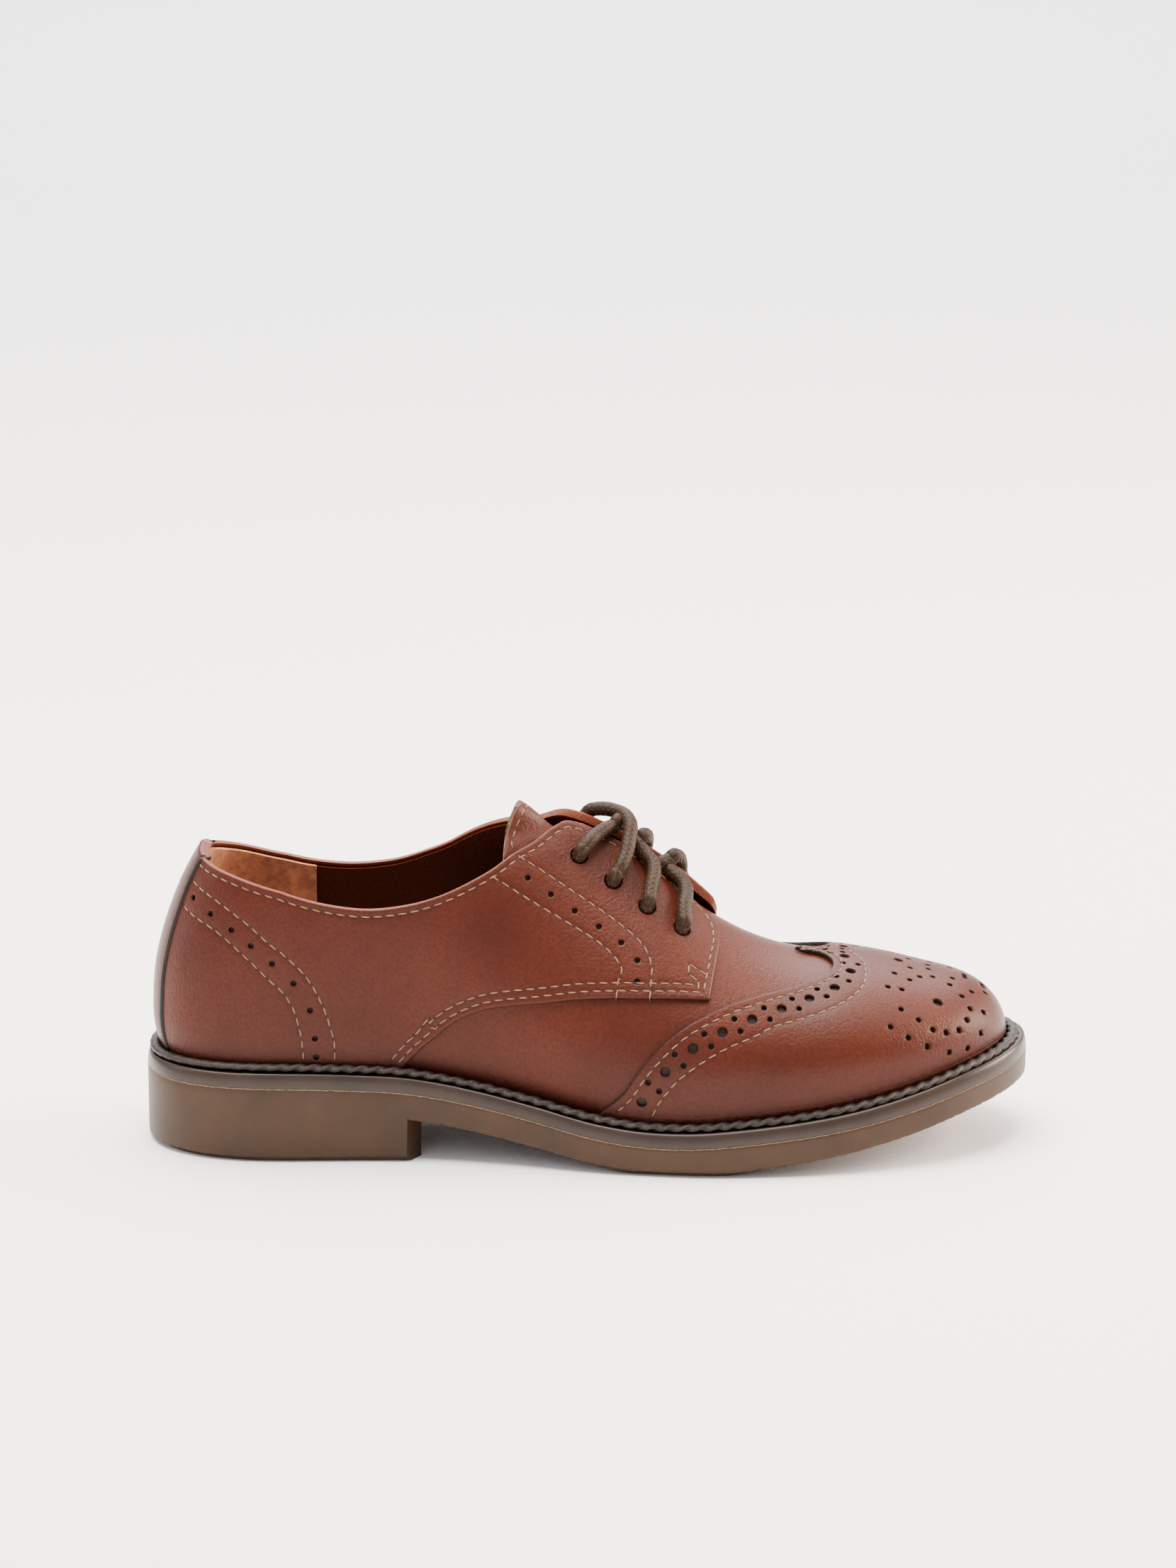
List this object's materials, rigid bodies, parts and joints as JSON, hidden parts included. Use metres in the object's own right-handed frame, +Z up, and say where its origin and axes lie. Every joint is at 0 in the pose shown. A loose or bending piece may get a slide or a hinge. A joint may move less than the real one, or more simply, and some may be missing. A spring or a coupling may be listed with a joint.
{
  "type": "brogue shoe",
  "caption": "Junior lace-up wingtip derby shoe: punched leather upper hollow inside, roped welt and gum sole with a low heel",
  "frame": {"origin": "middle of the sole's footprint box, on the floor", "axes": "+X from heel to toe, +Z up, -Y the outer (lateral) side of a right shoe"},
  "size_m": [0.24, 0.0855, 0.0929],
  "materials": {
    "tan_leather": "burnished fine grain",
    "dark_leather": "dark waxed",
    "lining": "woven textile lining",
    "gum_rubber": "satin gum",
    "taupe_rubber": "satin",
    "lace_cotton": "waxed round braid"
  },
  "bodies": {
    "root": {"outsole": "gum_rubber", "midsole": "taupe_rubber", "storm_welt": "dark_leather", "insole": "lining", "upper": "tan_leather", "tongue": "tan_leather", "toe_cap": "tan_leather", "quarter_lateral": "tan_leather", "quarter_medial": "tan_leather", "heel_strip": "tan_leather", "piping_lateral": "dark_leather", "piping_medial": "dark_leather", "laces": "lace_cotton"}
  },
  "joints": []
}
